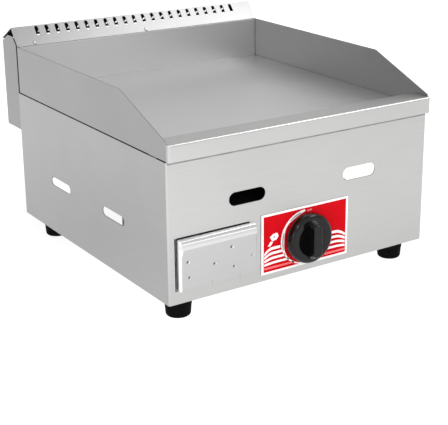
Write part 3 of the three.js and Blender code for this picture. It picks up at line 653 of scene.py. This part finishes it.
def make_drawer_front():
    """A folded tray front: rounded bends all round, a soft pull lip along the top, weld marks, and
    painted highlight: lighter steel on the up- and left-facing bends and on the lip band.
    """
    low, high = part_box("drawer_front")
    face = PANEL_FACE - DRAWER_REACH
    piece = block("drawer_front_formed", (low.x, face, low.z), (high.x, high.y, high.z))
    work_on(piece)
    pick(piece, "faces", lambda c, n: n.y > 0.9)
    bpy.ops.mesh.delete(type="FACE")
    done_editing()
    bend_drawer_edges(piece, face)
    press_lip(piece, face, high.z)
    apply_modifier(piece, "SOLIDIFY", thickness=DRAWER_SHEET, offset=-1.0)
    press_dimples(piece, face)
    smooth(piece, 40)
    finish_piece(piece, DRAWER_STEEL, "drawer", ["drawer_front"])
    highlight_floor = high.z - TOP_HIGHLIGHT_DEPTH
    nearest, furthest = LIP_HIGHLIGHT_DEPTHS
    # Painted highlight: near-white steel on up-facing faces near the top and on left-facing faces, and
    # a lighter steel on the lip band.
    refinish(piece, PAINTED_HIGHLIGHT_BEND, lambda c, n: (n.z > 0.7 and c.z > highlight_floor) or n.x < -0.6)
    refinish(piece, LIP_HIGHLIGHT_STEEL, lambda c, n: n.y < -0.6 and nearest < high.z - c.z < furthest)
    make_weld_spots(face)


# ---- Knob ----

DISC_DEPTH = 11.4 * MM
DISC_ROUNDING = 5 * MM
DISH_RADIUS = 60 * MM
DISH_DEPTH = 4.2 * MM
GRIP_HALF_WIDTH = 8.6 * MM
GRIP_END_MARGIN = 3 * MM
GRIP_ROOT = 8 * MM
GRIP_TAPER = (0.76, 1, 0.7)
GRIP_CORNER = 3.4 * MM
GRIP_SOFTENING = 1.2 * MM
SOCKET_RADIUS = 11.2 * MM
SOCKET_LENGTH = 9.6 * MM
SOCKET_SHIFT = 2 * MM


def make_grip(reach, front, rim):
    """The tapered bar across the knob, with cut corners and softened edges."""
    x, z = KNOB_CENTRE.x, KNOB_CENTRE.z
    bar = block(
        "bar",
        (x - GRIP_HALF_WIDTH, front, z - reach),
        (x + GRIP_HALF_WIDTH, rim + GRIP_ROOT, z + reach),
    )
    pick(bar, "faces", lambda c, n: n.y < -0.9)
    bpy.ops.transform.resize(value=GRIP_TAPER)
    done_editing()
    pick(bar, "edges", lambda c, d: abs(d.y) > 0.5)
    bpy.ops.mesh.bevel(offset=GRIP_CORNER, segments=1, affect="EDGES")
    done_editing()
    round_edges(bar, GRIP_SOFTENING, 3)
    return bar


def make_knob():
    """A moulded knob: a rounded disc with a shallow dish, and a grip bar across it."""
    low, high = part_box("knob")
    radius = (high.x - low.x) / 2
    x, z = KNOB_CENTRE.x, KNOB_CENTRE.z
    back = high.y
    rim = back - DISC_DEPTH
    body = disc("knob_moulded", (x, (back + rim) / 2, z), radius, back - rim, 128)
    pick(body, "edges", lambda c, d: abs(c.y - rim) < ON_PLANE)
    bpy.ops.mesh.bevel(offset=DISC_ROUNDING, segments=8, affect="EDGES")
    done_editing()
    bpy.ops.mesh.primitive_uv_sphere_add(
        segments=128,
        ring_count=96,
        radius=DISH_RADIUS,
        location=(x, rim + DISH_DEPTH - DISH_RADIUS, z),
        rotation=(math.pi / 2, 0, 0),
    )
    dish = bpy.context.object
    place_in_mesh(dish)
    cut_with(body, dish)
    cut_with(body, make_grip(radius - GRIP_END_MARGIN, low.y, rim), "UNION")
    socket = disc("socket", (x, back + SOCKET_SHIFT, z), SOCKET_RADIUS, SOCKET_LENGTH, 48)
    cut_with(body, socket)
    smooth(body, 36)
    finish_piece(body, PLASTIC, "knob", ["knob"])


# ---- Printed label ----

PRINT_LIFT = 0.12 * MM
LABEL_EDGE = 0.15
# The label's measures, in millimetres; places are about the knob's centre.
BORDER_SIDE = 3.2
BORDER_END = 2.8
CRESCENT_RADII = (38.5, 36.5)
CRESCENT_ANGLES = (92, 264)
CRESCENT_STEPS = 48
CRESCENT_CORES = (("upper", 3, 12), ("side", 19, 31))
CORE_SPAN = (0.34, 0.8)
BAR_COUNT = 5
BAR_STEPS = 8
BAR_MARGIN = 1
LEFT_BAR_LENGTH = 25.5
LEFT_BAR_TOP = -3.4
LEFT_BAR_PITCH = 6.5
RIGHT_BAR_START = 31
RIGHT_BAR_TOP = -2.4
RIGHT_BAR_PITCH = 6.9
FLAME = ((-52, 4.4), (-45.6, 5.2), (-42, 9.8), (-44.4, 14.2), (-50.2, 13.6), (-55.4, 10.4))
FLAME_EYE = ((-50, 8), (-47.2, 8.4), (-47.6, 10.8), (-50.2, 10.4))
SPARK = ((-58.5, -1.6), (-54.6, -1.8), (-50.4, 3.4), (-54.6, 4.2))
OFF_MARK = ((2, 32.6), (9.5, 33.4), (9.5, 35.4), (2, 34.8))
# How many print thicknesses each layer stands off the label.
FIELD_LAYER = 0.5
MARK_LAYER = 1.5
DETAIL_LAYER = 2.5


def flat_print(name, outline, layer, material):
    """One printed shape from (x, z) millimetres about the knob's centre, as a thin solid."""
    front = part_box("control_label")[0].y - PRINT_LIFT * layer
    bpy.ops.curve.primitive_bezier_circle_add(radius=0.001)
    curve = bpy.context.object
    curve.name = name
    data = curve.data
    data.splines.clear()
    data.dimensions = "2D"
    data.fill_mode = "BOTH"
    spline = data.splines.new("POLY")
    spline.points.add(len(outline) - 1)
    for point, (px, pz) in zip(spline.points, outline):
        point.co = (px * MM, pz * MM, 0, 1)
    spline.use_cyclic_u = True
    data.extrude = PRINT_LIFT / 2
    work_on(curve)
    bpy.ops.object.convert(target="MESH")
    piece = bpy.context.object
    piece.rotation_euler = (math.pi / 2, 0, 0)
    piece.location = (KNOB_CENTRE.x, front, KNOB_CENTRE.z)
    place_in_mesh(piece)
    bpy.ops.object.mode_set(mode="EDIT")
    bpy.ops.mesh.select_all(action="SELECT")
    bpy.ops.mesh.remove_doubles(threshold=1e-7)
    bpy.ops.mesh.normals_make_consistent(inside=False)
    done_editing()
    finish_piece(piece, material, "casing")
    return piece


def arc_points(radius_x, radius_z, start, end, steps):
    """Points along part of an ellipse about the knob's centre, between two angles in degrees."""
    angles = [math.radians(start + (end - start) * i / steps) for i in range(steps + 1)]
    return [(radius_x * math.cos(angle), radius_z * math.sin(angle)) for angle in angles]


def make_label():
    """A white-bordered red label with a heat crescent, a flame mark and two sets of bars."""
    low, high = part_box("control_label")
    backing = formed("control_label", edge=LABEL_EDGE, name="label_backing")
    finish_piece(backing, PRINT_WHITE, "casing", ["control_label"])
    half_x = (high.x - low.x) / 2 / MM - BORDER_SIDE
    field_low = (low.z - KNOB_CENTRE.z) / MM + BORDER_END
    field_high = (high.z - KNOB_CENTRE.z) / MM - BORDER_END
    field = flat_print(
        "label_red_field",
        [(-half_x, field_low), (half_x, field_low), (half_x, field_high), (-half_x, field_high)],
        FIELD_LAYER,
        PRINT_RED,
    )
    well = disc("well", (KNOB_CENTRE.x, low.y, KNOB_CENTRE.z), 10.5 * MM, 4 * MM, 48)
    cut_with(field, well)
    make_crescent()
    make_bars(half_x)
    flat_print("label_flame", FLAME, MARK_LAYER, PRINT_WHITE)
    flat_print("label_flame_eye", FLAME_EYE, DETAIL_LAYER, PRINT_GREY)
    flat_print("label_spark", SPARK, MARK_LAYER, PRINT_WHITE)
    flat_print("label_off_mark", OFF_MARK, MARK_LAYER, PRINT_PINK)


def make_crescent():
    """The white crescent around the knob's left side, with its two grey cores."""
    path = arc_points(*CRESCENT_RADII, *CRESCENT_ANGLES, CRESCENT_STEPS)
    crescent = [(px, pz, thickness_at(i / CRESCENT_STEPS)) for i, (px, pz) in enumerate(path)]
    outer = [(px, pz) for px, pz, _ in crescent]
    inner = [inward(px, pz, thick) for px, pz, thick in reversed(crescent)]
    flat_print("label_crescent", outer + inner, MARK_LAYER, PRINT_WHITE)
    for name, start, end in CRESCENT_CORES:
        core = crescent[start:end]
        near = [inward(px, pz, thick * CORE_SPAN[0]) for px, pz, thick in core]
        far = [inward(px, pz, thick * CORE_SPAN[1]) for px, pz, thick in reversed(core)]
        flat_print(f"label_crescent_core_{name}", near + far, DETAIL_LAYER, PRINT_GREY)


def make_bars(half_x):
    """Bars down both sides of the label, thinner and straighter downwards, the last ones pink."""
    for i in range(BAR_COUNT):
        left_end = -half_x + LEFT_BAR_LENGTH + 1.6 * i + 0.95 * i * i
        left_top = LEFT_BAR_TOP - i * LEFT_BAR_PITCH
        right_top = RIGHT_BAR_TOP - i * RIGHT_BAR_PITCH
        shape = {
            "height": 3.5 - 0.2 * i,
            "droop": 6.5 - 1.7 * i,
            "ink": PRINT_PINK if i == BAR_COUNT - 1 else PRINT_WHITE,
        }
        left_start = -half_x + BAR_MARGIN
        make_bar(f"label_bar_left_{i + 1}", left_start, left_end, left_top, side=-1, **shape)
        right_end = half_x - BAR_MARGIN
        make_bar(f"label_bar_right_{i + 1}", RIGHT_BAR_START, right_end, right_top, side=1, **shape)


def thickness_at(t):
    """The crescent's thickness along its length: broad at the top and the side, thin below."""
    upper = 3.4 * math.exp(-(((t - 0.14) / 0.13) ** 2))
    side = 3.4 * math.exp(-(((t - 0.5) / 0.16) ** 2))
    return 1.7 + upper + side


def inward(px, pz, distance):
    """A point moved towards the knob's centre."""
    k = 1 - distance / math.hypot(px, pz)
    return px * k, pz * k


def make_bar(name, left, right, top, height, droop, side, ink):
    """One printed bar whose outer end curves down."""
    upper = []
    for i in range(BAR_STEPS + 1):
        t = i / BAR_STEPS
        px = left + (right - left) * t
        out = 1 - t if side < 0 else t
        upper.append((px, top - max(0.0, droop) * max(0.0, (out - 0.55) / 0.45) ** 1.6))
    lower = [(px, pz - height) for px, pz in reversed(upper)]
    flat_print(name, upper + lower, MARK_LAYER, ink)


# ---- Feet ----

FOOT_TAPER = 2 * MM
FOOT_SOFT_EDGE = 3.6 * MM
FOOT_RECESS_RADIUS = 5.5 * MM
FOOT_RECESS_HEIGHT = 9 * MM
FOOT_BORE = 3 * MM


def foot_profile(outer, top):
    """Half of a foot's section, as (radius, height) points from the recess round to the bore."""
    lower = outer - FOOT_TAPER
    soft = FOOT_SOFT_EDGE
    rounding = [
        (lower - soft + soft * math.sin(math.radians(a)), soft - soft * math.cos(math.radians(a)))
        for a in range(0, 91, 15)
    ]
    return [
        (FOOT_RECESS_RADIUS, 0),
        *rounding,
        (outer - 1.2 * MM, top * 0.5),
        (outer - 0.8 * MM, top * 0.55),
        (outer - 0.3 * MM, top - 1.2 * MM),
        (outer, top - 0.5 * MM),
        (outer - 0.3 * MM, top),
        (FOOT_BORE, top),
        (FOOT_BORE, FOOT_RECESS_HEIGHT),
        (FOOT_RECESS_RADIUS, FOOT_RECESS_HEIGHT),
    ]


def make_feet():
    """Turned rubber feet with a soft lower edge and a shallow moulding ring."""
    for end in ("front", "rear"):
        for side in ("left", "right"):
            name = f"foot_{end}_{side}"
            low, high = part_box(name)
            centre = ((low.x + high.x) / 2, (low.y + high.y) / 2, 0)
            profile = foot_profile((high.x - low.x) / 2, high.z)
            piece = spun(name + "_turned", profile, centre)
            smooth(piece, 40)
            finish_piece(piece, RUBBER, "casing", [name])


# ---- Stage ----

FLOOR_SIZE = 14
FLOOR_SINK = 0.2 * MM
# Where the floor's painted pool of light is centred, how far its glow falls off to the sides, and how
# far the painted shadow near the object dims it.
FLOOR_PAINTED_LIGHT_SPOT = (-0.25, -0.65, 0)
FLOOR_PAINTED_LIGHT_FALLOFF = 0.7
FLOOR_PAINTED_SHADOW_TONE = 0.8
FLOOR_GLOW = 1.6
SKY_STRENGTH = 1.1
# How bright the surround is at each height, from straight down (0) to straight up (1).
SKY_TONES = ((0.0, 0.9), (0.5, 0.8), (0.66, 0.72), (1.0, 0.85))
SKY_BRIGHT_SIDE = (-0.35, -1, 0.1)
SKY_DIM_SIDE = (-0.75, 0.65, 0.1)
FRONT_LIFT = 0.35
LEFT_BACK_DIM = 0.35
LAMPS = (
    ("key_left", (-1.4, -1.6, 1.9), 0.6, 12),
    ("top_right", (1.35, -0.8, 1.9), 0.9, 15),
    ("low_left", (-1.5, -1.05, 0.45), 0.5, 3.5),
)
LAMP_TARGET = (0, 0, 0.1)
CAMERA_PLACE = (-0.835, -1.31135, 0.6001)
CAMERA_YAW = -34.869
CAMERA_PITCH = 18.827
CAMERA_ROLL = 0.052
CAMERA_LENS = 93.5
CAMERA_SHIFT = (-0.0799, -0.0391)


def toward(tree, coordinates, direction, start, end):
    """How far a direction leans towards the given one, as a factor from 0 to 1."""
    dot = node(tree, "ShaderNodeVectorMath", operation="DOT_PRODUCT")
    tree.links.new(coordinates, dot.inputs[0])
    dot.inputs[1].default_value = Vector(direction).normalized()
    return ranged(tree, dot.outputs["Value"], 0.0, 1.0, start, end)


def distance_from(tree, place, centre):
    away = node(tree, "ShaderNodeVectorMath", operation="DISTANCE")
    tree.links.new(place, away.inputs[0])
    away.inputs[1].default_value = centre
    return away.outputs["Value"]


def make_floor():
    """A pale glowing floor with painted light and shade: a painted pool of light in front and a
    painted shadow near the object, so its glow is brightest in front and away from the object.
    """
    bpy.ops.mesh.primitive_plane_add(size=FLOOR_SIZE, location=(0, 0, -FLOOR_SINK))
    floor = bpy.context.object
    floor.name = "floor"
    material, tree, shader, place = new_material("floor_paint", roughness=0.9)
    shader.inputs["Specular IOR Level"].default_value = 0.0
    smudge = placed_group(tree, SMUDGES, place, Scale=3.0)
    paint = tinted(tree, smudge.outputs["Patches"], grey(0.15), grey(0.16))
    tree.links.new(paint, shader.inputs["Base Color"])
    from_spot = distance_from(tree, place, FLOOR_PAINTED_LIGHT_SPOT)
    from_object = distance_from(tree, place, (0, 0, 0))
    # Painted light round the spot in front, and painted shadow near the object.
    painted_light_fall = ranged(tree, from_spot, 1.0, FLOOR_PAINTED_LIGHT_FALLOFF, 0.1, 0.8)
    painted_shadow_fall = ranged(tree, from_object, FLOOR_PAINTED_SHADOW_TONE, 1.0, 0.3, 0.75)
    glow = math_node(tree, "MULTIPLY", painted_light_fall, painted_shadow_fall)
    tree.links.new(tinted(tree, glow, grey(0), grey(1)), shader.inputs["Emission Color"])
    shader.inputs["Emission Strength"].default_value = FLOOR_GLOW
    floor.data.materials.append(material)


def make_sky():
    """A soft studio surround: brighter in front, dimmer behind and to the left."""
    world = bpy.data.worlds.new("studio")
    bpy.context.scene.world = world
    world.use_nodes = True
    tree = world.node_tree
    background = tree.nodes["Background"]
    coordinates = node(tree, "ShaderNodeTexCoord").outputs["Generated"]
    split = node(tree, "ShaderNodeSeparateXYZ")
    tree.links.new(coordinates, split.inputs[0])
    height = ranged(tree, split.outputs["Z"], 0.0, 1.0, -1.0, 1.0)
    ramp = node(tree, "ShaderNodeValToRGB")
    tree.links.new(height, ramp.inputs["Fac"])
    stops = ramp.color_ramp.elements
    for stop, (position, tone) in zip(stops, (SKY_TONES[0], SKY_TONES[-1])):
        stop.position = position
        stop.color = (*grey(tone), 1)
    for position, tone in SKY_TONES[1:-1]:
        stops.new(position).color = (*grey(tone), 1)
    tree.links.new(ramp.outputs["Color"], background.inputs["Color"])
    front = toward(tree, coordinates, SKY_BRIGHT_SIDE, 0.25, 0.75)
    behind = toward(tree, coordinates, SKY_DIM_SIDE, 0.2, 0.9)
    lifted = math_node(tree, "MULTIPLY_ADD", front, FRONT_LIFT)
    lifted.node.inputs[2].default_value = 1.0
    dimmed = math_node(tree, "MULTIPLY_ADD", behind, -LEFT_BACK_DIM)
    dimmed.node.inputs[2].default_value = 1.0
    both = math_node(tree, "MULTIPLY", lifted, dimmed)
    strength = math_node(tree, "MULTIPLY", both, SKY_STRENGTH)
    tree.links.new(strength, background.inputs["Strength"])


def lamp(name, location, size, power):
    light = bpy.data.lights.new(name, "AREA")
    light.shape = "SQUARE"
    light.size = size
    light.energy = power
    holder = bpy.data.objects.new(name, light)
    bpy.context.collection.objects.link(holder)
    holder.location = location
    aim = Vector(LAMP_TARGET) - Vector(location)
    holder.rotation_euler = aim.to_track_quat("-Z", "Y").to_euler()


def make_stage():
    make_floor()
    make_sky()
    for settings in LAMPS:
        lamp(*settings)


def make_camera():
    """The camera stands in front, to the left and a little above."""
    yaw, pitch, roll = (math.radians(a) for a in (CAMERA_YAW, CAMERA_PITCH, CAMERA_ROLL))
    level = math.cos(pitch)
    back = Vector((math.sin(yaw) * level, -math.cos(yaw) * level, math.sin(pitch)))
    right = Vector((math.cos(yaw), math.sin(yaw), 0))
    up = back.cross(right)
    tilted_right = right * math.cos(roll) + up * math.sin(roll)
    tilted_up = up * math.cos(roll) - right * math.sin(roll)
    lens = bpy.data.cameras.new("camera")
    lens.sensor_width = 36
    lens.lens = CAMERA_LENS
    lens.shift_x, lens.shift_y = CAMERA_SHIFT
    lens.clip_start = 0.05
    lens.clip_end = 60
    camera = bpy.data.objects.new("camera", lens)
    bpy.context.collection.objects.link(camera)
    turn = Matrix((tilted_right, tilted_up, back)).transposed().to_4x4()
    camera.matrix_world = Matrix.Translation(CAMERA_PLACE) @ turn
    bpy.context.scene.camera = camera


make_camera()
make_stage()
paint_packed_nodes()
make_sheets()
make_fascia_shadow_strip()
make_drawer_front()
make_knob()
make_label()
make_feet()

bpy.context.scene.view_settings.view_transform = "Standard"
